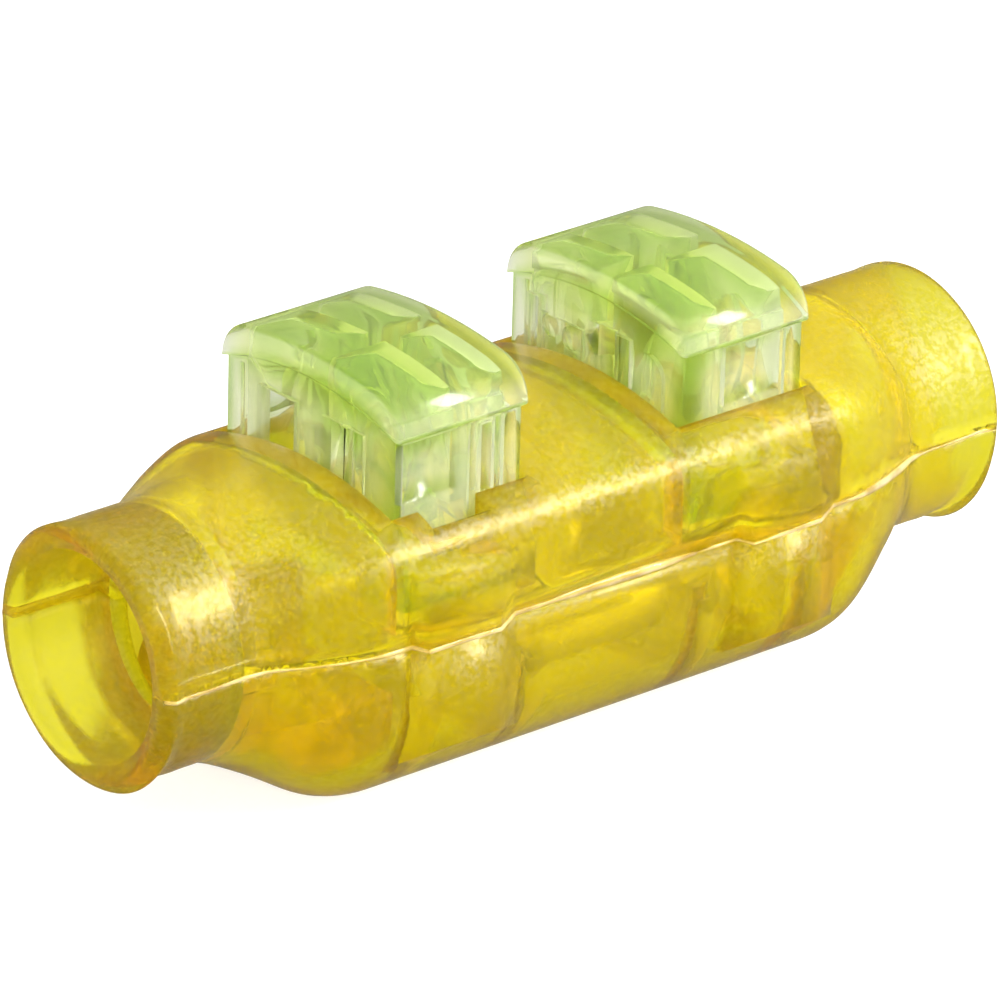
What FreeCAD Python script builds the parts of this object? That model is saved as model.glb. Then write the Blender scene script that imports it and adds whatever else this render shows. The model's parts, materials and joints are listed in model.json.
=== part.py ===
import FreeCAD, Part
import math
import os
from FreeCAD import Vector

# In-line moisture-proof splice connector for one two-wire cable.
# +X runs along the connector, +Z up through the two press caps, -Y is the front. All in mm.
# Heights are measured from the common axis of the two cable entries; save() lifts every piece
# by REST, so the origin ends up at the middle of the flat underside.
# Left is -X. Right-hand pieces are left-hand ones turned half round about Z.

# ---- driving dimensions -------------------------------------------------
LENGTH = 63.8            # end face to end face
TUBE_R = 7.75            # outside radius of a cable entry
RIM = 0.3                # size of the bevel round an entry's end
BORE_R = 6.40            # bore radius of a cable entry
BODY_END = 26.28         # where the wide body starts, from the middle
BORE_END = 25.7          # inner end of the straight bore
WINDOW_HY, WINDOW_HZ = 4.9, 5.95    # half sizes of the oval between bore and chamber
WALL = 1.40              # body wall thickness

HALF_W = 10.35           # half width of the body at the parting plane
DEPTH = 11.12            # depth of the body below the axis
BOTTOM_R = 6.87          # lower corner radius
ROOF_Z = 8.20            # crown of the roof
ROOF_R = 25.0            # roof arch radius
SHOULDER_R = 2.6         # radius between side wall and roof
PARTING_GAP = 0.015      # each half stops this far from the parting plane
FLAT = 0.04              # depth of the flat on the underside
REST = DEPTH - FLAT      # height of the cable axis above the rest face

PITCH = 10.78            # cap centre from the middle
CAP_HX, CAP_HY = 4.68, 7.75     # half sizes of the cap skirt
SLIDE_GAP = 0.08         # running clearance of the skirt in its pocket
RIGHT_DROP = 0.35        # the right cap stands this much lower than the left

STRIP_T = 0.5            # contact sheet thickness
STRIP_Y = 5.35           # where the two contact strips run
STRIP_LO, STRIP_HI = -6.6, -3.6     # lower and upper edge of a strip
FORK_TOP = -0.9
FORK_INNER_Y = 1.5       # edge of a fork nearest the middle
WIRE_Y = 3.1             # where the two conductors run
FIT = 0.06               # clearance of the contacts in their slots
BLOCK_GAP = 0.12         # gap from the blocks and the gel to the chamber wall
GUIDE_GAP = 0.15         # gap from an entry guide to the chamber wall

os.makedirs("parts", exist_ok=True)


# ---- helpers ------------------------------------------------------------
def box(x0, x1, y0, y1, z0, z1):
    return Part.makeBox(x1 - x0, y1 - y0, z1 - z0, Vector(x0, y0, z0))


def slab(z0, z1):
    """Layer wider than the whole connector."""
    return box(-40, 40, -20, 20, z0, z1)


def rod(radius, length, x, y, z):
    """Cylinder that starts at (x, y, z) and runs along +X."""
    return Part.makeCylinder(radius, length, Vector(x, y, z), Vector(1, 0, 0))


def prism(points, direction):
    wire = Part.makePolygon([Vector(*p) for p in points] + [Vector(*points[0])])
    return Part.Face(wire).extrude(Vector(*direction))


def prism_x(x0, x1, points):
    """Prism along X on (y, z) points."""
    return prism([(x0, y, z) for y, z in points], (x1 - x0, 0, 0))


def prism_y(y0, y1, points):
    """Prism along Y on (x, z) points."""
    return prism([(x, y0, z) for x, z in points], (0, y1 - y0, 0))


def prism_z(z0, z1, points):
    """Prism along Z on (x, y) points."""
    return prism([(x, y, z0) for x, y in points], (0, 0, z1 - z0))


def half_turn(shape):
    turned = shape.copy()
    turned.rotate(Vector(0, 0, 0), Vector(0, 0, 1), 180)
    return turned


def cut(shape, *tools):
    for tool in tools:
        shape = shape.cut(tool)
    return shape


def positive(solid):
    """Turn a solid that came out inside out."""
    if solid.Volume < 0:
        solid.reverse()
    return solid


def fillet(shape, radius, is_wanted):
    """Round the wanted edges, or return the same shape if that can't be done."""
    edges = [e for e in shape.Edges if is_wanted(e)]
    if not edges:
        return shape
    # the kernel may refuse a radius where short or curved edges meet
    try:
        rounded = shape.makeFillet(radius, edges)
        if rounded.isValid() and rounded.Volume > 0:
            return rounded
    except Exception:
        pass
    return shape


def save(name, shape):
    solids = shape.Solids
    out = (solids[0] if len(solids) == 1 else Part.makeCompound(solids)).copy()
    out.translate(Vector(0, 0, REST))
    out.exportStep("parts/%s.step" % name)


# ---- outer form ---------------------------------------------------------
# Growth of the body from the entry tube: (distance in from BODY_END, share of full growth)
GROW_TOP = [
    (0, 0), (0.5, 0.012), (1.1, 0.06), (1.9, 0.168), (2.9, 0.286), (4.0, 0.392),
    (5.2, 0.515), (6.5, 0.66), (8.0, 0.845), (9.0, 0.96), (9.6, 1.0)]
GROW_SIDE = [
    (0, 0), (0.5, 0.021), (1.1, 0.044), (1.9, 0.117), (2.9, 0.301), (4.0, 0.48),
    (5.2, 0.666), (6.5, 0.825), (8.0, 0.962), (9.0, 0.995), (9.6, 1.0)]
GROW_LOW = [
    (0, 0), (0.5, 0.033), (1.1, 0.09), (1.9, 0.18), (2.9, 0.31), (4.0, 0.466),
    (5.2, 0.654), (6.5, 0.856), (8.0, 0.965), (9.0, 0.995), (9.6, 1.0)]

# the body's section is constant between -MID_END and MID_END
MID_END = BODY_END - GROW_TOP[-1][0]

# distances from the middle of the loft sections, outside and in the chamber
OUTER_X = [LENGTH / 2, 30.6, 29.3, 28.2, 27.3, 26.7] + [BODY_END - s for s, _ in GROW_TOP]
CHAMBER_X = [BODY_END - s for s in (1.45, 2.2, 3.0, 4.0, 5.2, 6.5, 8.0, 9.0, 9.6)]

# centre of the roof arch, centre of the shoulder, and the angle at which they meet
ROOF_C = ROOF_Z - ROOF_R
CORNER_Y = HALF_W - SHOULDER_R
CORNER_Z = ROOF_C + math.sqrt((ROOF_R - SHOULDER_R) ** 2 - CORNER_Y ** 2)
TURN = math.atan2(CORNER_Z - ROOF_C, CORNER_Y)


def interpolate(points, s):
    """Monotone cubic through the points, level beyond both ends."""
    if s <= points[0][0]:
        return points[0][1]
    if s >= points[-1][0]:
        return points[-1][1]
    pairs = list(zip(points, points[1:]))
    chords = [(b[1] - a[1]) / (b[0] - a[0]) for a, b in pairs]
    slopes = [0.0] * len(points)
    slopes[0] = chords[0] * 0.2
    for i in range(1, len(points) - 1):
        before, after = chords[i - 1], chords[i]
        if before * after > 0:
            slopes[i] = 2 * before * after / (before + after)
    for i, (a, b) in enumerate(pairs):
        if a[0] <= s <= b[0]:
            step = b[0] - a[0]
            t = (s - a[0]) / step
            return ((2 * t ** 3 - 3 * t ** 2 + 1) * a[1]
                    + (t ** 3 - 2 * t ** 2 + t) * step * slopes[i]
                    + (-2 * t ** 3 + 3 * t ** 2) * b[1]
                    + (t ** 3 - t ** 2) * step * slopes[i + 1])


def growth(x, angle):
    """Share of full growth at x, blended round the section from side to top or bottom."""
    s = BODY_END - abs(x)
    upright = math.sin(angle) ** 2
    vertical = interpolate(GROW_TOP if math.sin(angle) > 0 else GROW_LOW, s)
    return upright * vertical + (1 - upright) * interpolate(GROW_SIDE, s)


def spread(a, b, n):
    """n even steps from a towards b, without b."""
    return [a + (b - a) * i / n for i in range(n)]


def arc_points(y, z, radius, start, end, n):
    return [(y + radius * math.cos(a), z + radius * math.sin(a)) for a in spread(start, end, n)]


def body_points(side):
    """Full body section from +Y to -Y over the top (side 1) or under the bottom (side -1)."""
    if side > 0:
        quarter = [(HALF_W, z) for z in spread(0.0, CORNER_Z, 3)]
        quarter += arc_points(CORNER_Y, CORNER_Z, SHOULDER_R, 0.0, TURN, 6)
        quarter += arc_points(0.0, ROOF_C, ROOF_R, TURN, math.pi / 2, 4)
        middle = (0.0, ROOF_Z)
    else:
        flat = HALF_W - BOTTOM_R
        low = -DEPTH + BOTTOM_R
        quarter = [(HALF_W, z) for z in spread(0.0, low, 3)]
        quarter += arc_points(flat, low, BOTTOM_R, 0.0, -math.pi / 2, 8)
        quarter += [(y, -DEPTH) for y in spread(flat, 0.0, 2)]
        middle = (0.0, -DEPTH)
    return quarter + [middle] + [(-y, z) for y, z in reversed(quarter)]


def section(x, side):
    """Outer half section at x, as (y, z) points."""
    points = []
    for y, z in body_points(side):
        angle = math.atan2(z, y)
        r = TUBE_R + (math.hypot(y, z) - TUBE_R) * growth(x, angle)
        points.append((r * math.cos(angle), r * math.sin(angle)))
    return points


def inset(x, side, thickness):
    """Half section at x moved inwards by a thickness measured square to the surface."""
    here = section(x, side)
    step = 0.05
    outward = section(abs(x) + step, side)
    inward = section(max(0.0, abs(x) - step), side)
    last = len(here) - 1
    points = []
    for i, (y, z) in enumerate(here):
        if i in (0, last):
            ty, tz = 0.0, (side if i == 0 else -side)
        else:
            ty, tz = here[i + 1][0] - here[i - 1][0], here[i + 1][1] - here[i - 1][1]
        length = math.hypot(ty, tz)
        ny, nz = -tz / length * side, ty / length * side
        dy, dz = inward[i][0] - outward[i][0], inward[i][1] - outward[i][1]
        slope = -(dy * ny + dz * nz) / (2 * step)
        shift = thickness * math.sqrt(1 + slope * slope)
        points.append((y + ny * shift, z + nz * shift))
    return points


def chamber_section(x, side):
    return inset(x, side, WALL)


def half_wire(x, points, side, past):
    """Closed wire: the curve, two legs that run past z = 0 by past, and the closing line."""
    up = Vector(0, 0, side)
    spline = Part.BSplineCurve()
    spline.interpolate(Points=[Vector(x, y, z) for y, z in points],
                       InitialTangent=up, FinalTangent=up * -1.0)
    first, last = Vector(x, *points[0]), Vector(x, *points[-1])
    if past == 0:
        return Part.Wire([spline.toShape(), Part.makeLine(last, first)])
    leg_first = Vector(x, points[0][0], -side * past)
    leg_last = Vector(x, points[-1][0], -side * past)
    return Part.Wire([spline.toShape(), Part.makeLine(last, leg_last),
                      Part.makeLine(leg_last, leg_first), Part.makeLine(leg_first, first)])


def half_form(distances, outline, side, past):
    """Lofted left end and straight middle of one half."""
    wires = [half_wire(-x, outline(-x, side), side, past) for x in distances]
    end = positive(Part.makeLoft(wires, True, False))
    face = Part.Face(half_wire(-MID_END, outline(-MID_END, side), side, past))
    return end, positive(face.extrude(Vector(2 * MID_END, 0, 0)))


# ---- side pads ----------------------------------------------------------
PAD_Y = 11.45            # how far the side pads stand out
PAD_ZLO, PAD_ZHI = -7.6, 4.9
PAD_ROOT_Y = -8.0        # inside the body wall
PAD_STEP, PAD_RAMP = 0.6, 3.0       # run-out of a pad at its -X and +X end


def front_pad(x0, x1):
    """Pad on the front, full height from x0 to x1: a step on its -X side, a ramp on +X."""
    profile = prism_x(x0 - 8, x1 + 8, [
        (PAD_ROOT_Y, PAD_ZLO - 1.0), (-PAD_Y, PAD_ZLO + 1.2), (-PAD_Y, PAD_ZHI - 2.0),
        (-PAD_Y + 0.45, PAD_ZHI - 0.75), (-PAD_Y + 1.35, PAD_ZHI + 0.05),
        (PAD_ROOT_Y, PAD_ZHI + 0.55)])
    plan = prism_z(-12, 12, [
        (x0 - PAD_STEP, PAD_ROOT_Y), (x0 - PAD_STEP, -HALF_W + 0.25), (x0, -PAD_Y - 0.4),
        (x1, -PAD_Y - 0.4), (x1 + PAD_RAMP, -HALF_W + 0.2), (x1 + PAD_RAMP, PAD_ROOT_Y)])
    return profile.common(plan)


front_pads = [front_pad(-15.7, -11.2), front_pad(8.95, 13.4)]
pads = front_pads + [half_turn(p) for p in front_pads]


# ---- housing halves -----------------------------------------------------
def rim_cut():
    """Everything outside the bevelled rim of the left entry."""
    depth = 1.7 * RIM
    keep = Part.makeCone(TUBE_R - RIM, TUBE_R + 0.7 * RIM, depth,
                         Vector(-LENGTH / 2, 0, 0), Vector(1, 0, 0))
    return box(-LENGTH / 2 - 1, -LENGTH / 2 + depth, -12, 12, -12, 12).cut(keep)


def entry_window():
    """Oval opening from the left bore into the chamber, long way up and down."""
    face = Part.Face(Part.Wire([Part.Ellipse(Vector(0, 0, 0), WINDOW_HZ, WINDOW_HY).toShape()]))
    face.rotate(Vector(0, 0, 0), Vector(0, 1, 0), 90)
    window = face.extrude(Vector(3, 0, 0))
    window.translate(Vector(-BORE_END - 1, 0, 0))
    return window


def half_shell(side):
    """Left end and middle of one hollow half, and the middle's solid outer form."""
    outer_end, outer_mid = half_form(OUTER_X, section, side, 0.0)
    inner_end, inner_mid = half_form(CHAMBER_X, chamber_section, side, 2.0)
    half = slab(0, 30) if side > 0 else slab(-30, 0)
    bore = rod(BORE_R, LENGTH / 2 - BORE_END + 1, -LENGTH / 2 - 1, 0, 0)
    end = outer_end.cut(inner_end.fuse(bore).fuse(entry_window())).cut(rim_cut())
    mid = outer_mid.multiFuse([p.common(half) for p in pads])
    if side < 0:
        mid = mid.cut(slab(-20, -REST))
    return end, mid.cut(inner_mid), outer_mid


POCKET_HX, POCKET_HY = CAP_HX + SLIDE_GAP, CAP_HY + SLIDE_GAP
SLEEVE_WALL = 1.15
MOUTH_R = 0.5            # round lip on the cross edges of a pocket's mouth


def sleeve(cx, outer_mid):
    """Guide sleeve of the pocket at cx, kept within the outer form."""
    reach = POCKET_HX + SLEEVE_WALL
    return box(max(cx - reach, -MID_END), min(cx + reach, MID_END),
               -HALF_W, HALF_W, 0.6, 12).common(outer_mid)


def pocket(cx):
    """Press pocket, with windows in the sleeve's end walls for the conductors."""
    hole = box(cx - POCKET_HX, cx + POCKET_HX, -POCKET_HY, POCKET_HY, -1, 20)
    return hole.fuse(box(cx - POCKET_HX - 3, cx + POCKET_HX + 3, -5.6, 5.6, -1, 3.6))


def is_mouth_edge(edge):
    """Edge across the connector, at an end wall of a pocket, high on the roof."""
    b = edge.BoundBox
    return (abs(abs(abs(b.XMin) - PITCH) - POCKET_HX) < 1e-3 and b.XLength < 1e-3
            and b.ZMin > 5.0 and b.YLength > 0.2)


def housing_upper():
    end, mid, outer_mid = half_shell(1)
    mid = mid.multiFuse([sleeve(cx, outer_mid) for cx in (-PITCH, PITCH)])
    mid = cut(mid, pocket(-PITCH), pocket(PITCH))
    mid = fillet(mid, MOUTH_R, is_mouth_edge)
    # notch over the front left pad and over the back right pad
    notch = prism_x(-13.9, -9.6, [(-7.0, 5.2), (-9.05, 4.6), (-9.4, 5.3), (-8.6, 9), (-7.0, 9)])
    mid = cut(mid, notch, half_turn(notch))
    return mid.multiFuse([end, half_turn(end)]).cut(slab(-1, PARTING_GAP))


def saddle(x0, x1, outer_mid):
    """Cross rib of the lower half that holds one side of a contact block."""
    rib = box(x0, x1, -HALF_W, HALF_W, -12, -3.7).common(outer_mid)
    return cut(rib, slab(-20, -REST), box(x0 - 1, x1 + 1, -5.9, 5.9, -7.2, 0))


def housing_lower():
    end, mid, outer_mid = half_shell(-1)
    saddles = [saddle(x0, x1, outer_mid) for x0, x1 in ((-7.3, -6.3), (-15.3, -14.26))]
    mid = mid.multiFuse(saddles + [half_turn(s) for s in saddles])
    return mid.multiFuse([end, half_turn(end)]).cut(slab(-PARTING_GAP, 1))


save("housing_upper", housing_upper())
save("housing_lower", housing_lower())

# ---- press caps: built about their own centre line, raised, as the left one
SKIRT_T = 1.0
SKIRT_BOTTOM = 1.4
LID_HX, LID_HY = 4.95, 8.05     # half sizes of the lid plate
LID_RISE = 1.40          # rise of the lid's underside from side to crown
LID_TOP = 14.75          # crown of the lid
LID_R = 34.0             # radius of the lid's top arch
LID_SHOULDER = 2.6       # radius between the lid's top arch and its upright sides
LID_SKIN = 0.75          # lid thickness left over the four wells
SHOULDER_Y = LID_HY - LID_SHOULDER
LID_ARCH_Z = LID_TOP - LID_R    # centre of the top arch
# lower edge of the lid at the long sides
LID_LOW = LID_ARCH_Z + math.sqrt((LID_R - LID_SHOULDER) ** 2 - SHOULDER_Y ** 2)

RIB_X = 0.65             # the cross rib stands off the middle of the cap
CROSS_RIB_HX = 0.55      # half thickness of the cross rib
LONG_RIB_HY = 0.75       # half thickness of the lengthwise rib
RIB_BOTTOM = 6.2
PUSHER_HY = 1.25         # half width of a pusher
PUSHER_BOTTOM = 4.3
PUSHER_GROOVE_R = 0.75
STEM_TOP = 15            # skirt and ribs start this high, then are trimmed under the lid
WELL_Y = 6.5             # outer side of the wells
PANEL_LOW, PANEL_TOP = 2.4, 11.35   # lower edge of the sunk panels, top of the highest ones

# Cuts in the skirt as (x0, x1, y0, y1, z0, z1)
SKIRT_CUTS = [
    # outer end face (-X): open gap, slot, two sunk panels
    (-6, -3, 1.5, 4.9, 5.2, 10.9),
    (-6, -3, -3.35, -2.6, 5.2, 10.9),
    (-6, -CAP_HX + 0.35, -2.6, -0.95, PANEL_LOW, 11.0),
    (-6, -CAP_HX + 0.35, -4.7, -3.35, PANEL_LOW, 11.0),
    # inner end face (+X): two openings, three sunk panels
    (3, 6, -6.4, -5.25, 2.8, 11.0),
    (3, 6, -0.75, 0.25, 9.1, 11.1),
    (CAP_HX - 0.35, 6, -5.0, -1.3, PANEL_LOW, 10.2),
    (CAP_HX - 0.3, 6, 0.5, 1.75, PANEL_LOW, 11.2),
    (CAP_HX - 0.5, 6, 1.75, 2.95, PANEL_LOW, 11.0),
    # front face: sunk window, slot, three sunk strips
    (-4.25, 0.0, -9, -CAP_HY + 0.55, 7.6, PANEL_TOP),
    (1.6, 2.4, -9, -6, 6.8, 11.1),
    (0.75, 1.0, -9, -CAP_HY + 0.3, PANEL_LOW, PANEL_TOP),
    (2.6, 2.95, -9, -CAP_HY + 0.3, PANEL_LOW, PANEL_TOP),
    (3.3, 4.05, -9, -CAP_HY + 0.4, PANEL_LOW, PANEL_TOP),
    # back face: sunk window, sunk strip
    (-2.9, 1.4, CAP_HY - 0.55, 9, 7.6, PANEL_TOP),
    (-3.75, -3.3, CAP_HY - 0.35, 9, PANEL_LOW, PANEL_TOP),
    # wire ways through both end walls
    (-6, 6, -4.9, -1.3, 0, 3.4),
    (-6, 6, 1.3, 4.9, 0, 3.4),
]
BOSSES = [(-4.1, 9.6), (-2.3, 9.3)]     # (y, z) of the round bosses on the inner end wall


def arch(x, low, rise):
    """Arc across the lid's width, low at the sides and low + rise at the middle."""
    return Part.Arc(Vector(x, -LID_HY, low), Vector(x, 0, low + rise),
                    Vector(x, LID_HY, low)).toShape()


def arch_block(low, rise):
    """Deep block under an arch, longer than the cap."""
    x, floor = -20, low - 14
    corners = [Vector(x, LID_HY, low), Vector(x, LID_HY, floor),
               Vector(x, -LID_HY, floor), Vector(x, -LID_HY, low)]
    lines = [Part.makeLine(a, b) for a, b in zip(corners, corners[1:])]
    return Part.Face(Part.Wire([arch(x, low, rise)] + lines)).extrude(Vector(40, 0, 0))


def is_lid_end_edge(edge):
    """Edge of the lid's end faces along the top arch or its shoulders."""
    b = edge.BoundBox
    return (abs(abs(edge.CenterOfMass.x) - LID_HX) < 1e-4 and b.YLength > 0.1
            and b.ZMax > LID_LOW + LID_RISE + 0.4)


def lid_plate():
    """Lid plate: arched underside, round shoulders, arched top, rounded end edges."""
    x = -LID_HX
    turn = math.atan2(LID_LOW - LID_ARCH_Z, SHOULDER_Y)

    def shoulder(side, angle):
        return Vector(x, side * (SHOULDER_Y + LID_SHOULDER * math.cos(angle)),
                      LID_LOW + LID_SHOULDER * math.sin(angle))

    edges = [
        arch(x, LID_LOW, LID_RISE),
        Part.Arc(shoulder(1, 0), shoulder(1, turn / 2), shoulder(1, turn)).toShape(),
        Part.Arc(shoulder(1, turn), Vector(x, 0, LID_TOP), shoulder(-1, turn)).toShape(),
        Part.Arc(shoulder(-1, turn), shoulder(-1, turn / 2), shoulder(-1, 0)).toShape()]
    plate = Part.Face(Part.Wire(edges)).extrude(Vector(2 * LID_HX, 0, 0))
    # the smaller radius stands in if the larger one can't be made
    for radius in (0.35, 0.25):
        rounded = fillet(plate, radius, is_lid_end_edge)
        if rounded is not plate:
            return rounded
    return plate


def lid_wells():
    """Four wells between the ribs that run up into the lid."""
    radius = LID_R - LID_SKIN
    crown = LID_TOP - LID_SKIN
    edge = crown - radius + math.sqrt(radius * radius - LID_HY ** 2)
    ceiling = arch_block(edge, crown - edge)
    return [box(x0, x1, y0, y1, 9, 20).common(ceiling)
            for x0, x1 in ((-CAP_HX + SKIRT_T, RIB_X - CROSS_RIB_HX),
                           (RIB_X + CROSS_RIB_HX, CAP_HX - SKIRT_T + 0.25))
            for y0, y1 in ((-WELL_Y, -LONG_RIB_HY), (LONG_RIB_HY, WELL_Y))]


def cap_skirt():
    skirt = box(-CAP_HX, CAP_HX, -CAP_HY, CAP_HY, SKIRT_BOTTOM, STEM_TOP)
    skirt = fillet(skirt, 0.3, lambda edge: edge.BoundBox.ZLength > 1)
    hx, hy = CAP_HX - SKIRT_T, CAP_HY - SKIRT_T
    return skirt.cut(box(-hx, hx, -hy, hy, 0, STEM_TOP))


def cap_ribs():
    """Crossed ribs under the lid, with a grooved pusher over each conductor."""
    hx, hy = CAP_HX - 0.5, CAP_HY - 0.5
    long_rib = box(-hx, hx, -LONG_RIB_HY, LONG_RIB_HY, RIB_BOTTOM, STEM_TOP)
    cross_rib = box(RIB_X - CROSS_RIB_HX, RIB_X + CROSS_RIB_HX, -hy, hy, RIB_BOTTOM, STEM_TOP)
    pushers = [box(-CROSS_RIB_HX, RIB_X + CROSS_RIB_HX, y - PUSHER_HY, y + PUSHER_HY,
                   PUSHER_BOTTOM, 8) for y in (-WIRE_Y, WIRE_Y)]
    ribs = long_rib.multiFuse([cross_rib] + pushers)
    return cut(ribs, *[rod(PUSHER_GROOVE_R, 4, -2, y, PUSHER_BOTTOM) for y in (-WIRE_Y, WIRE_Y)])


def press_cap():
    lid = cut(lid_plate(), *lid_wells())
    stem = cap_skirt().fuse(cap_ribs()).common(arch_block(LID_LOW + 0.3, LID_RISE))
    # round-topped recess of the inner end face
    recess_x = CAP_HX - 0.5
    recess = box(recess_x, 6, 3.1, 5.9, PANEL_LOW, 9.3).fuse(rod(1.4, 2, recess_x, 4.5, 9.3))
    stem = cut(stem, *[box(*limits) for limits in SKIRT_CUTS]).cut(recess)
    bosses = [rod(0.75, 0.35, CAP_HX - 0.36, y, z) for y, z in BOSSES]
    return lid.multiFuse([stem] + bosses).removeSplitter()


left_cap = press_cap()
left_cap.translate(Vector(-PITCH, 0, 0))
save("press_cap_left", left_cap)
right_cap = half_turn(left_cap)
right_cap.translate(Vector(0, 0, -RIGHT_DROP))
save("press_cap_right", right_cap)

# ---- contacts -----------------------------------------------------------
SLOT_HALF = 0.21         # half width of a fork's slot
SLOT_BOTTOM = -4.6
SLOT_END_R = 0.32        # round relief at the foot of the slot


def contact_strip(side):
    """Bus strip with a slotted fork under each cap; side is -1 at the front, 1 at the back."""
    y = side * STRIP_Y
    wire_y = side * WIRE_Y
    strip = box(-PITCH - 0.25, PITCH + 0.25, y - STRIP_T / 2, y + STRIP_T / 2,
                STRIP_LO, STRIP_HI)
    strip = strip.cut(box(-4.2, 4.2, y - 1, y + 1, STRIP_HI - 0.9, 0))
    y0, y1 = sorted((side * FORK_INNER_Y, y + side * STRIP_T / 2))
    for cx in (-PITCH, PITCH):
        x0, x1 = cx - STRIP_T / 2, cx + STRIP_T / 2
        fork = cut(
            box(x0, x1, y0, y1, STRIP_LO, FORK_TOP),
            box(x0 - 1, x1 + 1, wire_y - SLOT_HALF, wire_y + SLOT_HALF, SLOT_BOTTOM, 0),
            rod(SLOT_END_R, 3, x0 - 1, wire_y, SLOT_BOTTOM),
            # V-shaped mouth
            prism_x(x0 - 1, x0 + 2, [(wire_y - 0.95, FORK_TOP + 0.01),
                                     (wire_y + 0.95, FORK_TOP + 0.01),
                                     (wire_y, FORK_TOP - 1.3)]))
        strip = strip.fuse(fork)
    return strip.removeSplitter()


save("contact_strip_front", contact_strip(-1))
save("contact_strip_rear", contact_strip(1))


def chamber_fill(x0, x1):
    """Solid that fills the lower chamber from x0 to x1, BLOCK_GAP short of the wall."""
    wire = half_wire(x0, inset(0.0, -1, WALL + BLOCK_GAP), -1, 1.0)
    return positive(Part.Face(wire).extrude(Vector(x1 - x0, 0, 0)))


# ---- contact blocks -----------------------------------------------------
BLOCK_HX, BLOCK_HY = 3.4, 6.5
BLOCK_TOP = -1.3
GROOVE_R = 1.25


def contact_block():
    """Block under the left cap: two wire grooves on top, slots for the forks and strips."""
    cx = -PITCH
    slot_half = STRIP_T / 2 + FIT
    block = box(cx - BLOCK_HX, cx + BLOCK_HX, -BLOCK_HY, BLOCK_HY, -12, BLOCK_TOP)
    block = block.common(chamber_fill(-16.3, -5.0))
    for side in (-1, 1):
        y = side * STRIP_Y
        y0, y1 = sorted((side * (FORK_INNER_Y - FIT), side * (STRIP_Y + slot_half)))
        block = cut(
            block,
            rod(GROOVE_R, 12, cx - 6, side * WIRE_Y, BLOCK_TOP),
            box(cx - slot_half, cx + slot_half, y0, y1, STRIP_LO - FIT, 0),
            box(cx - slot_half, cx + 4, y - slot_half, y + slot_half, STRIP_LO - FIT, 0))
    # two pits between the grooves
    for x0, x1 in ((-2.4, -1.2), (1.2, 2.4)):
        block = block.cut(box(cx + x0, cx + x1, -0.75, 0.75, -6, 0))
    return block.removeSplitter()


block = contact_block()
save("contact_block_left", block)
save("contact_block_right", half_turn(block))

# ---- entry guides -------------------------------------------------------
GUIDE_X0, GUIDE_X1 = -24.2, -16.0
FIN_HALF = 0.95          # half thickness of the fin


def entry_guide():
    """Ramp with a wedge-nosed fin that parts the conductors behind the left cable entry."""
    ramp = prism_y(-12, 12, [
        (GUIDE_X0, -4.6), (GUIDE_X1, -2.9), (GUIDE_X1, -12), (GUIDE_X0, -12)])
    fin = prism_y(-12, 12, [
        (GUIDE_X0, -12), (GUIDE_X0, -1.8), (-22.6, 1.2), (-21.0, 2.2),
        (GUIDE_X1, 2.2), (GUIDE_X1, -12)])
    fin = fin.common(prism_z(-12, 12, [
        (GUIDE_X0, 0), (-21.4, FIN_HALF), (GUIDE_X1, FIN_HALF),
        (GUIDE_X1, -FIN_HALF), (-21.4, -FIN_HALF)]))
    guide = ramp.fuse(fin)
    # tapering wire channel on each side of the fin
    for side in (-1, 1):
        guide = guide.cut(Part.makeCone(2.6, 1.5, 10.2, Vector(-25.2, side * 3.6, -2.2),
                                        Vector(0.992, side * -0.05, 0.1)))
    wires = [half_wire(-x, inset(-x, -1, WALL + GUIDE_GAP), -1, 4.0) for x in CHAMBER_X[1:]]
    room = positive(Part.makeLoft(wires, True, False))
    return guide.common(room).cut(box(-40, -24.3, -20, 20, -20, 20)).removeSplitter()


guide = entry_guide()
save("entry_guide_left", guide)
save("entry_guide_right", half_turn(guide))


# ---- sealing gel --------------------------------------------------------
def sealing_gel():
    """Filling between the two contact blocks, slotted for the strips."""
    gap = 0.1
    slot_half = STRIP_T / 2 + gap
    gel = box(-5.6, 5.6, -12, 12, -12, -1.9).common(chamber_fill(-5.7, 5.7))
    for y in (-STRIP_Y, STRIP_Y):
        gel = gel.cut(box(-7, 7, y - slot_half, y + slot_half, STRIP_LO - gap, 0))
    return gel.removeSplitter()


save("sealing_gel", sealing_gel())
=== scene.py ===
"""In-line splice connector: amber see-through housing, two green-clear press caps, clear contact
blocks, plated contact strips and sealing gel, on a plain white ground.

Metres, +Z up. The housing lies along X, centred on the origin, with its rest face on z = 0 and
its parting face level with the cable axis. The camera looks from -X and -Y, slightly above.
"""
import json
import math
import random

import bpy
from mathutils import Matrix, Vector


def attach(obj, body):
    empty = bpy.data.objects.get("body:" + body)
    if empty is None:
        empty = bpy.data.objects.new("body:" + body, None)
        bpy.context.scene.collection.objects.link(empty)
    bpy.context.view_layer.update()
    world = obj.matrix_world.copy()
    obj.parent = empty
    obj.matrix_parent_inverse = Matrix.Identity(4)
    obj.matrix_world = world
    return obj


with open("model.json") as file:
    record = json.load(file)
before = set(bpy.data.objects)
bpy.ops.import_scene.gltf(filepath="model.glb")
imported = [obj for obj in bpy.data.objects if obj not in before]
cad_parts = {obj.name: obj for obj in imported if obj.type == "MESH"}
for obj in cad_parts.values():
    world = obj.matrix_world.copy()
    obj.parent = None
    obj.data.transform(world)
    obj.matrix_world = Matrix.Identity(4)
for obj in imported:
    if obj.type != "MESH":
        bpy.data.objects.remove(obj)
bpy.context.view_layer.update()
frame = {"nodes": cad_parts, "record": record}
nodes = frame["nodes"]


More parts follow.
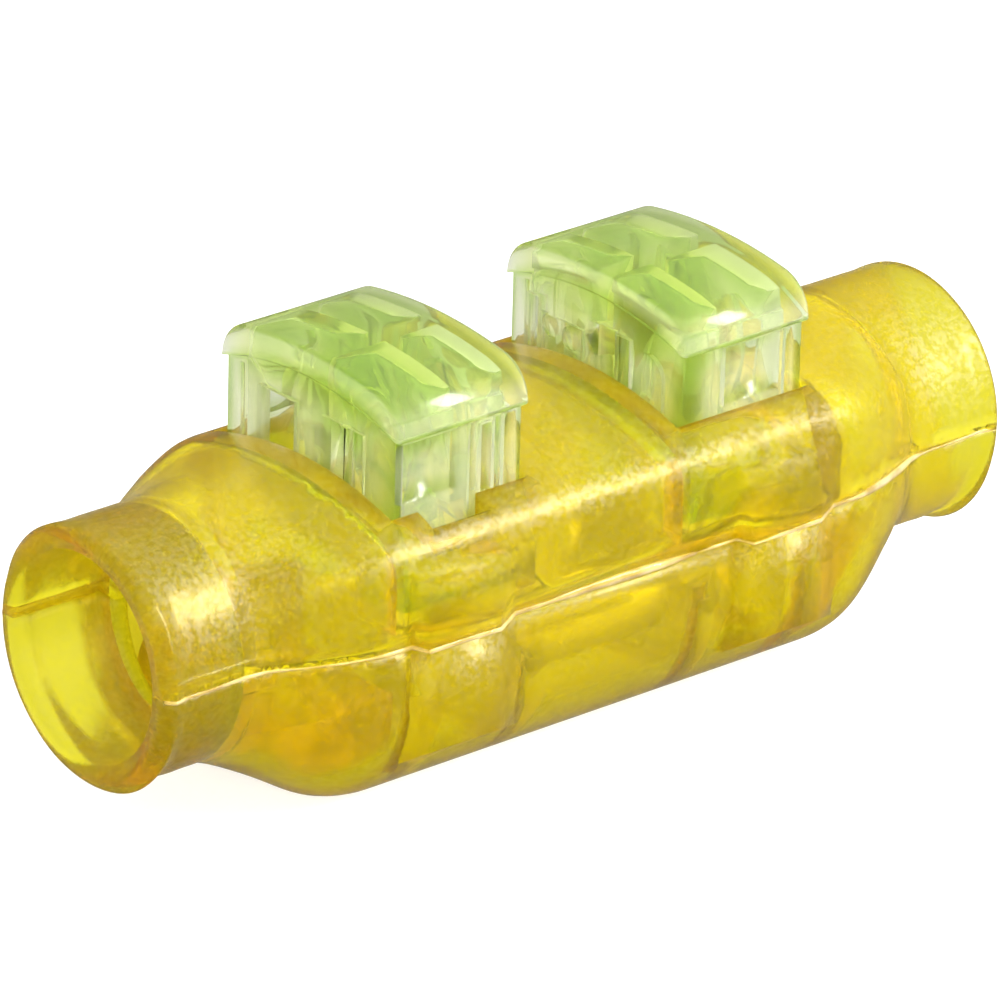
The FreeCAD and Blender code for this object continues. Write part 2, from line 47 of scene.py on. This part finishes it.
random.seed(7)                      # fixes the shared generator
MM = 0.001
AXIS_HEIGHT = 0.01108               # height of the cable axis above the rest face
CAP_CENTRE_X = 0.01078              # distance of each cap's crown from the middle
WELD_DISTANCE = 2e-6
SHARP_ANGLE = math.radians(32)      # steeper edges stay sharp

# Seam flash: a thin irregular bead along both long edges of the parting face
SEAM_HALF_LENGTH = 0.0319
SEAM_END_X = 0.03189                # stations stop just inside the ends of the housing
SEAM_STEPS = 420
BEAD_SIDES = 8
BEAD_INSET = 0.02                   # mm, the bead's centre lies this far inside the edge
SWELLS = [(-0.006, 0.0055), (0.018, 0.0255)]    # start and end x of the thicker stretches
SWELL_REACH, SWELL_HEIGHT = 0.14, 0.20          # mm added at the middle of a swell

WHITE = (1, 1, 1)
scene = bpy.context.scene


def new_object(name, data):
    obj = bpy.data.objects.new(name, data)
    scene.collection.objects.link(obj)
    return obj


# ---- node helpers -------------------------------------------------------
class Tree:
    """Builds the nodes of a material or world."""

    def __init__(self, block, output_kind):
        self.block = block
        block.use_nodes = True
        self.tree = block.node_tree
        self.tree.nodes.clear()
        self.output = self.node(output_kind)

    def node(self, kind, inputs=None, **props):
        node = self.tree.nodes.new("ShaderNode" + kind)
        for key, value in props.items():
            setattr(node, key, value)
        for key, value in (inputs or {}).items():
            self.put(node.inputs[key], value)
        return node

    def add(self, kind, output, inputs=None, **props):
        """Make a node and give back one of its outputs."""
        return self.node(kind, inputs, **props).outputs[output]

    def put(self, socket, value):
        """Link a socket, or set its value; colours are given as three numbers."""
        if isinstance(value, bpy.types.NodeSocket):
            self.tree.links.new(value, socket)
        elif socket.type == "RGBA":
            socket.default_value = (*value, 1)
        else:
            socket.default_value = value

    def surface(self, shader):
        self.put(self.output.inputs["Surface"], shader)

    def coords(self, scale=(1, 1, 1)):
        place = self.add("TexCoord", "Object")
        return self.add("Mapping", "Vector", {"Vector": place, "Scale": scale})

    def noise(self, scale, detail=2.0, rough=0.5, stretch=(1, 1, 1)):
        return self.add("TexNoise", "Fac", {
            "Vector": self.coords(stretch), "Scale": scale, "Detail": detail, "Roughness": rough})

    def ramp(self, fac, stops, mode="EASE"):
        """Colour ramp; stops are (position, grey or colour)."""
        node = self.node("ValToRGB", {"Fac": fac})
        node.color_ramp.interpolation = mode
        elements = node.color_ramp.elements
        while len(elements) < len(stops):
            elements.new(0.5)
        for element, (position, colour) in zip(elements, stops):
            if isinstance(colour, (int, float)):
                colour = (colour,) * 3
            element.position = position
            element.color = (*colour, 1)
        return node.outputs["Color"]

    def math(self, operation, first, second=0.0, third=0.0):
        inputs = {0: first, 1: second, 2: third}
        return self.add("Math", "Value", inputs, operation=operation)

    def mottle(self, scale, base, spread):
        """Noise between base and base + spread."""
        return self.math("MULTIPLY_ADD", self.noise(scale), spread, base)

    def bump(self, height, distance, strength, normal=None):
        inputs = {"Height": height, "Distance": distance, "Strength": strength}
        if normal is not None:
            inputs["Normal"] = normal
        return self.add("Bump", "Normal", inputs)

    def rounded(self, radius):
        """Normals as if every edge had this radius."""
        return self.add("Bevel", "Normal", {"Radius": radius}, samples=4)

    def principled(self, **inputs):
        named = {key.replace("_", " "): value for key, value in inputs.items()}
        return self.add("BsdfPrincipled", "BSDF", named)

    def blend(self, share, first, second):
        """Mix two shaders; share is the part of the second."""
        return self.add("MixShader", "Shader", {"Fac": share, 1: first, 2: second})

    def diffuse(self, colour, normal):
        return self.add("BsdfDiffuse", "BSDF", {"Color": colour, "Normal": normal})

    def frosted(self, colour, through, share, normal):
        """Scattering part of a frosted plastic: a share of it lets light through."""
        back = self.diffuse(colour, normal)
        fore = self.add("BsdfTranslucent", "BSDF", {"Color": through, "Normal": normal})
        return self.blend(share, back, fore)

    def absorb(self, per_metre):
        """Beer absorption per metre for red, green and blue."""
        density = max(per_metre)
        colour = tuple(1 - value / density for value in per_metre)
        volume = self.add("VolumeAbsorption", "Volume", {"Color": colour, "Density": density})
        self.put(self.output.inputs["Volume"], volume)


def material_tree(name):
    return Tree(bpy.data.materials.new(name), "OutputMaterial")


# ---- materials ----------------------------------------------------------
def amber():
    t = material_tree("housing_amber")
    skin = t.noise(scale=900)
    streak = t.noise(scale=1.0, rough=0.6, stretch=(3600, 3600, 160))
    flow = t.noise(scale=120)
    normal = t.bump(flow, distance=0.00025, strength=0.2)
    normal = t.bump(skin, distance=0.00003, strength=0.25, normal=normal)
    normal = t.bump(streak, distance=0.00002, strength=0.2, normal=normal)
    soft_edge = t.bump(skin, distance=0.00003, strength=0.3, normal=t.rounded(radius=0.0003))
    grain = t.noise(scale=4500, rough=0.6)
    sparkle = t.bump(grain, distance=0.000015, strength=0.7, normal=soft_edge)
    # fine grain of the moulded skin breaks up the highlight
    speck = t.ramp(t.noise(scale=2600, detail=3.0, rough=0.7), [(0.40, 0.15), (0.60, 1.0)])
    rough = t.mottle(scale=300, base=0.16, spread=0.10)
    # the wall looks deeper and more orange where it is seen at a slant
    slant = t.add("LayerWeight", "Facing", {"Blend": 0.5})
    tint = t.ramp(slant, mode="LINEAR", stops=[
        (0.30, (1.0, 0.975, 0.40)), (0.62, (0.97, 0.86, 0.24)), (0.95, (0.90, 0.66, 0.10))])
    glass = t.principled(
        Base_Color=tint, Transmission_Weight=1.0, IOR=1.38, Roughness=rough, Normal=normal,
        Specular_Tint=(0.30, 0.24, 0.06),
        Coat_Weight=speck, Coat_Roughness=0.54, Coat_IOR=1.50, Coat_Normal=sparkle)
    soft = t.frosted(colour=(1.0, 0.88, 0.015), through=(1.0, 0.91, 0.015), share=0.6,
                     normal=normal)
    t.surface(t.blend(0.10, glass, soft))
    t.absorb(per_metre=(6, 34, 1250))
    return t.block


def cap_green():
    t = material_tree("cap_green_clear")
    # each cap is slightly domed along X: height = -curve * (distance from its crown) squared
    curve = 36.0
    x = t.add("SeparateXYZ", "X", {"Vector": t.coords()})
    off = t.math("SUBTRACT", t.math("ABSOLUTE", x), CAP_CENTRE_X)
    dome = t.math("MULTIPLY", t.math("MULTIPLY", off, off), -curve)
    normal = t.bump(dome, distance=1.0, strength=0.8)
    edge = t.bump(dome, distance=1.0, strength=0.8, normal=t.rounded(radius=0.0002))
    up = t.add("SeparateXYZ", "Z", {"Vector": t.add("NewGeometry", "Normal")})

    def by_slope(upright, level):
        """One value on upright faces, another on level ones."""
        return t.ramp(t.math("ABSOLUTE", up), [(0.25, upright), (0.75, level)])

    # painted shade: level (top) faces are coloured darker and greener and upright faces paler,
    # standing in for how the light falls on them
    tint = by_slope(upright=(1.0, 1.0, 0.97), level=(0.66, 0.79, 0.41))
    rough = t.mottle(scale=500, base=0.05, spread=0.05)
    glass = t.principled(
        Base_Color=tint, Transmission_Weight=1.0, IOR=1.13, Roughness=rough, Normal=normal,
        Coat_Weight=0.35, Coat_Roughness=0.20, Coat_IOR=1.45, Coat_Normal=edge)
    # painted shade: the frosted part is darker on level faces and paler on upright ones, and it
    # takes a larger share on upright faces
    frost_with_painted_shade = by_slope(upright=(0.97, 1.0, 0.86), level=(0.60, 0.73, 0.34))
    soft = t.frosted(colour=frost_with_painted_shade, through=frost_with_painted_shade, share=0.6, normal=normal)
    t.surface(t.blend(by_slope(upright=0.20, level=0.15), glass, soft))
    t.absorb(per_metre=(20, 6, 170))
    return t.block


def near_clear(name, tint, skin_colour, skin_share):
    """Inner piece that hardly shows through the frosted wall."""
    t = material_tree(name)
    normal = t.bump(t.noise(scale=700), distance=0.00004, strength=0.3)
    through = t.add("BsdfTransparent", "BSDF", {"Color": tint})
    skin = t.principled(Base_Color=skin_colour, Roughness=0.25, IOR=1.4, Normal=normal)
    t.surface(t.blend(skin_share, through, skin))
    return t.block


def plated_metal():
    t = material_tree("contact_metal")
    # scratches drawn out along X
    scratches = t.noise(scale=2600, rough=0.6, stretch=(0.2, 1, 1))
    normal = t.bump(scratches, distance=0.00001, strength=0.3)
    rough = t.mottle(scale=900, base=0.25, spread=0.15)
    t.surface(t.principled(
        Base_Color=(0.86, 0.80, 0.62), Metallic=1.0, Roughness=rough, Normal=normal))
    return t.block


def weld_flash():
    t = material_tree("weld_flash")
    lumps = t.noise(scale=1500, detail=3.0, rough=0.6)
    normal = t.bump(lumps, distance=0.00006, strength=0.6)
    shade = t.ramp(t.noise(scale=420, detail=3.0, rough=0.6), mode="LINEAR", stops=[
        (0.38, (0.44, 0.28, 0.03)), (0.62, (0.78, 0.60, 0.22))])
    glass = t.principled(
        Base_Color=(1.0, 0.94, 0.60), Transmission_Weight=1.0, IOR=1.35, Roughness=0.25,
        Normal=normal)
    t.surface(t.blend(0.38, glass, t.diffuse(shade, normal)))
    return t.block


slot_materials = {
    "housing_amber": amber(),
    "cap_green_clear": cap_green(),
    "block_clear": near_clear("block_clear", tint=(0.97, 0.95, 0.80),
                              skin_colour=(0.93, 0.86, 0.40), skin_share=0.14),
    "contact_metal": plated_metal(),
    "gel": near_clear("gel", tint=(0.98, 0.95, 0.78),
                      skin_colour=(0.95, 0.90, 0.50), skin_share=0.07),
}
flash_material = weld_flash()


# ---- CAD pieces ---------------------------------------------------------
def dress(piece, slot):
    """Give a piece its material, weld its facets and smooth its round faces."""
    piece.data.materials.clear()
    piece.data.materials.append(slot_materials[slot])
    for face in piece.data.polygons:
        face.use_smooth = True
    weld = piece.modifiers.new("weld", "WELD")
    weld.merge_threshold = WELD_DISTANCE


for subpart in frame["record"]["subparts"]:
    dress(nodes[subpart["node"]], subpart["material_slot"])
for piece in nodes.values():
    piece.data.set_sharp_from_angle(angle=SHARP_ANGLE)


# ---- seam flash ---------------------------------------------------------
def seam_outline(side):
    """Outer edge of the parting face on one side (-1 or 1 in Y), as (x, y) stations.

    It is read from the topmost edges of the lower half of the housing.
    """
    mesh = nodes["housing_lower"].data
    top = max(v.co.z for v in mesh.vertices if abs(v.co.z - AXIS_HEIGHT) < 1e-4)
    edges = []
    for edge in mesh.edges:
        start, end = (mesh.vertices[index].co for index in edge.vertices)
        level = abs(start.z - top) < 2e-6 and abs(end.z - top) < 2e-6
        if level and abs(start.x - end.x) > 1e-7:
            edges.append((start, end))
    outline = []
    for i in range(SEAM_STEPS + 1):
        x = -SEAM_HALF_LENGTH + 2 * SEAM_HALF_LENGTH * i / SEAM_STEPS
        x = min(max(x, -SEAM_END_X), SEAM_END_X)
        reach = 0.0
        for start, end in edges:
            if min(start.x, end.x) <= x <= max(start.x, end.x):
                y = start.y + (end.y - start.y) * (x - start.x) / (end.x - start.x)
                reach = max(reach, y * side)
        outline.append((x, reach * side))
    return outline


def tube(name, rings, material, body):
    """Closed tube through rings of points, riding on a body."""
    count = len(rings[0])
    verts = [tuple(point) for ring in rings for point in ring]
    faces = []
    for i in range(len(rings) - 1):
        for j in range(count):
            this = i * count + j
            following = i * count + (j + 1) % count
            faces.append((this, following, following + count, this + count))
    faces.append(tuple(range(count))[::-1])
    faces.append(tuple((len(rings) - 1) * count + j for j in range(count)))
    mesh = bpy.data.meshes.new(name)
    mesh.from_pydata(verts, [], faces)
    mesh.validate()
    for face in mesh.polygons:
        face.use_smooth = True
    obj = new_object(name, mesh)
    mesh.materials.append(material)
    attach(obj, body)


def wobble(x, seed, step):
    """Smooth seeded noise along x, from -1 to 1, with a new value every step."""
    generator = random.Random(seed)
    table = [generator.uniform(-1, 1) for _ in range(4000)]
    place = (x + 0.05) / step       # the shift keeps the index positive
    index = int(place)
    blend = place - index
    blend = blend * blend * (3 - 2 * blend)
    return table[index] * (1 - blend) + table[index + 1] * blend


def flash(side, name, seed):
    """Bead of uneven oval section along one side of the seam."""
    rings = []
    for x, y in seam_outline(side):
        # half width across (Y), half height (Z) and lift of the section, in mm
        reach = (0.08 + 0.04 * wobble(x, seed, step=0.0011)
                 + 0.04 * wobble(x, seed + 1, step=0.0035))
        height = (0.12 + 0.04 * wobble(x, seed + 2, step=0.0017)
                  + 0.04 * wobble(x, seed + 3, step=0.006))
        lift = 0.05 * wobble(x, seed + 4, step=0.004)
        for start, end in SWELLS:
            if start < x < end:
                swell = math.sin(math.pi * (x - start) / (end - start))
                reach += SWELL_REACH * swell
                height += SWELL_HEIGHT * swell
        ring = []
        for j in range(BEAD_SIDES):
            angle = math.pi * 2 * j / BEAD_SIDES
            across = reach * math.cos(angle) - BEAD_INSET
            rise = lift + height * math.sin(angle)
            ring.append(Vector((x, y + side * MM * across, AXIS_HEIGHT + MM * rise)))
        rings.append(ring)
    tube(name, rings, flash_material, "housing")


flash(-1, "seam_flash_front", seed=11)
flash(1, "seam_flash_back", seed=31)


# ---- floor --------------------------------------------------------------
def pale_floor(half_size=4):
    """White table; it glows a little so that it stays pale under the part."""
    mesh = bpy.data.meshes.new("floor")
    corners = [(x * half_size, y * half_size, 0) for x, y in ((-1, -1), (1, -1), (1, 1), (-1, 1))]
    mesh.from_pydata(corners, [], [(0, 1, 2, 3)])
    floor = new_object("floor", mesh)
    t = material_tree("floor_white")
    lit = t.add("BsdfDiffuse", "BSDF", {"Color": (0.34, 0.34, 0.34)})
    glow = t.add("Emission", "Emission", {"Color": WHITE, "Strength": 0.75})
    t.surface(t.add("AddShader", "Shader", {0: lit, 1: glow}))
    mesh.materials.append(t.block)
    # the room's own light already stands for what the floor sends back up
    floor.visible_diffuse = False
    floor.visible_glossy = False
    floor.visible_transmission = False


pale_floor()


# ---- light --------------------------------------------------------------
def white_room():
    """Plain white to the camera, darker in reflections, brighter overhead for all other rays."""
    world = bpy.data.worlds.new("white ground")
    scene.world = world
    t = Tree(world, "OutputWorld")
    upward = t.add("SeparateXYZ", "Z", {"Vector": t.add("TexCoord", "Generated")})
    height = t.add("Math", "Value", {0: upward, 1: 0.5, 2: 0.5}, operation="MULTIPLY_ADD")

    def background(strength):
        return t.add("Background", "Background", {"Color": WHITE, "Strength": strength})

    def bands(levels):
        """Brightness against height, from straight down (0) to straight up (1).

        Levels are halved to fit the ramp, then doubled again.
        """
        half = t.ramp(height, [(at, level / 2) for at, level in levels], mode="LINEAR")
        return t.add("Math", "Value", {0: half, 1: 2.0}, operation="MULTIPLY")

    lighting = background(bands([(0.0, 0.52), (0.30, 0.74), (0.50, 1.06), (1.0, 1.86)]))
    plain = background(1.0)
    ray = t.node("LightPath").outputs
    # 1 for a ray reflected off a surface
    mirror = t.add("Math", "Value", {0: ray["Is Glossy Ray"], 1: ray["Is Transmission Ray"]},
                   operation="SUBTRACT", use_clamp=True)
    # pale table below, darker band at eye height, soft ceiling
    reflected = background(bands([
        (0.0, 0.28), (0.40, 0.33), (0.50, 0.09), (0.62, 0.05), (0.95, 0.28)]))
    seen = t.blend(mirror, lighting, reflected)
    t.surface(t.blend(ray["Is Camera Ray"], seen, plain))


def softbox(name, place, size, power):
    """Rectangular lamp turned towards the part, hidden from the camera."""
    target = Vector((0, 0, 0.012))
    light = bpy.data.lights.new(name, "AREA")
    light.shape = "RECTANGLE"
    light.size, light.size_y = size
    light.energy = power
    lamp = new_object(name, light)
    lamp.location = place
    lamp.rotation_mode = "QUATERNION"
    lamp.rotation_quaternion = (target - Vector(place)).to_track_quat("-Z", "Y")
    lamp.visible_camera = False
    return lamp


white_room()
softbox("key", place=(0.225, -0.30, 0.285), size=(0.12, 0.20), power=4.9)
fill = softbox("fill", place=(-0.32, -0.34, 0.12), size=(0.40, 0.36), power=3.2)
fill.visible_glossy = False

# ---- camera -------------------------------------------------------------
# radians: turn about Z from the -Y side, height angle, and tilt about the view line
AZIMUTH, ELEVATION, ROLL = -0.7136146, 0.4282470, 0.0279244
CAMERA_DISTANCE = 0.55728           # from the cable axis at the middle of the part


def add_camera():
    data = bpy.data.cameras.new("camera")
    camera = new_object("camera", data)
    back = Vector((math.sin(AZIMUTH) * math.cos(ELEVATION),
                   -math.cos(AZIMUTH) * math.cos(ELEVATION),
                   math.sin(ELEVATION)))
    right = Vector((math.cos(AZIMUTH), math.sin(AZIMUTH), 0))
    up = back.cross(right)
    cos_roll, sin_roll = math.cos(ROLL), math.sin(ROLL)
    rolled_right = right * cos_roll + up * sin_roll
    rolled_up = up * cos_roll - right * sin_roll
    place = Vector((0, 0, AXIS_HEIGHT)) + back * CAMERA_DISTANCE
    camera.matrix_world = Matrix([*zip(rolled_right, rolled_up, back, place), (0, 0, 0, 1)])
    data.sensor_width = 36
    data.lens = 342
    data.shift_x = -0.01215
    data.shift_y = 0.0163
    data.clip_start, data.clip_end = 0.01, 10
    scene.camera = camera


add_camera()

# ---- render settings ----------------------------------------------------
scene.view_settings.view_transform = "Standard"
scene.view_settings.look = "None"
scene.render.film_transparent = False
cycles = scene.cycles
cycles.max_bounces = 18
cycles.transmission_bounces = 16
cycles.glossy_bounces = 6
cycles.diffuse_bounces = 3
cycles.transparent_max_bounces = 16
cycles.caustics_reflective = True
cycles.caustics_refractive = True
cycles.sample_clamp_indirect = 6.0
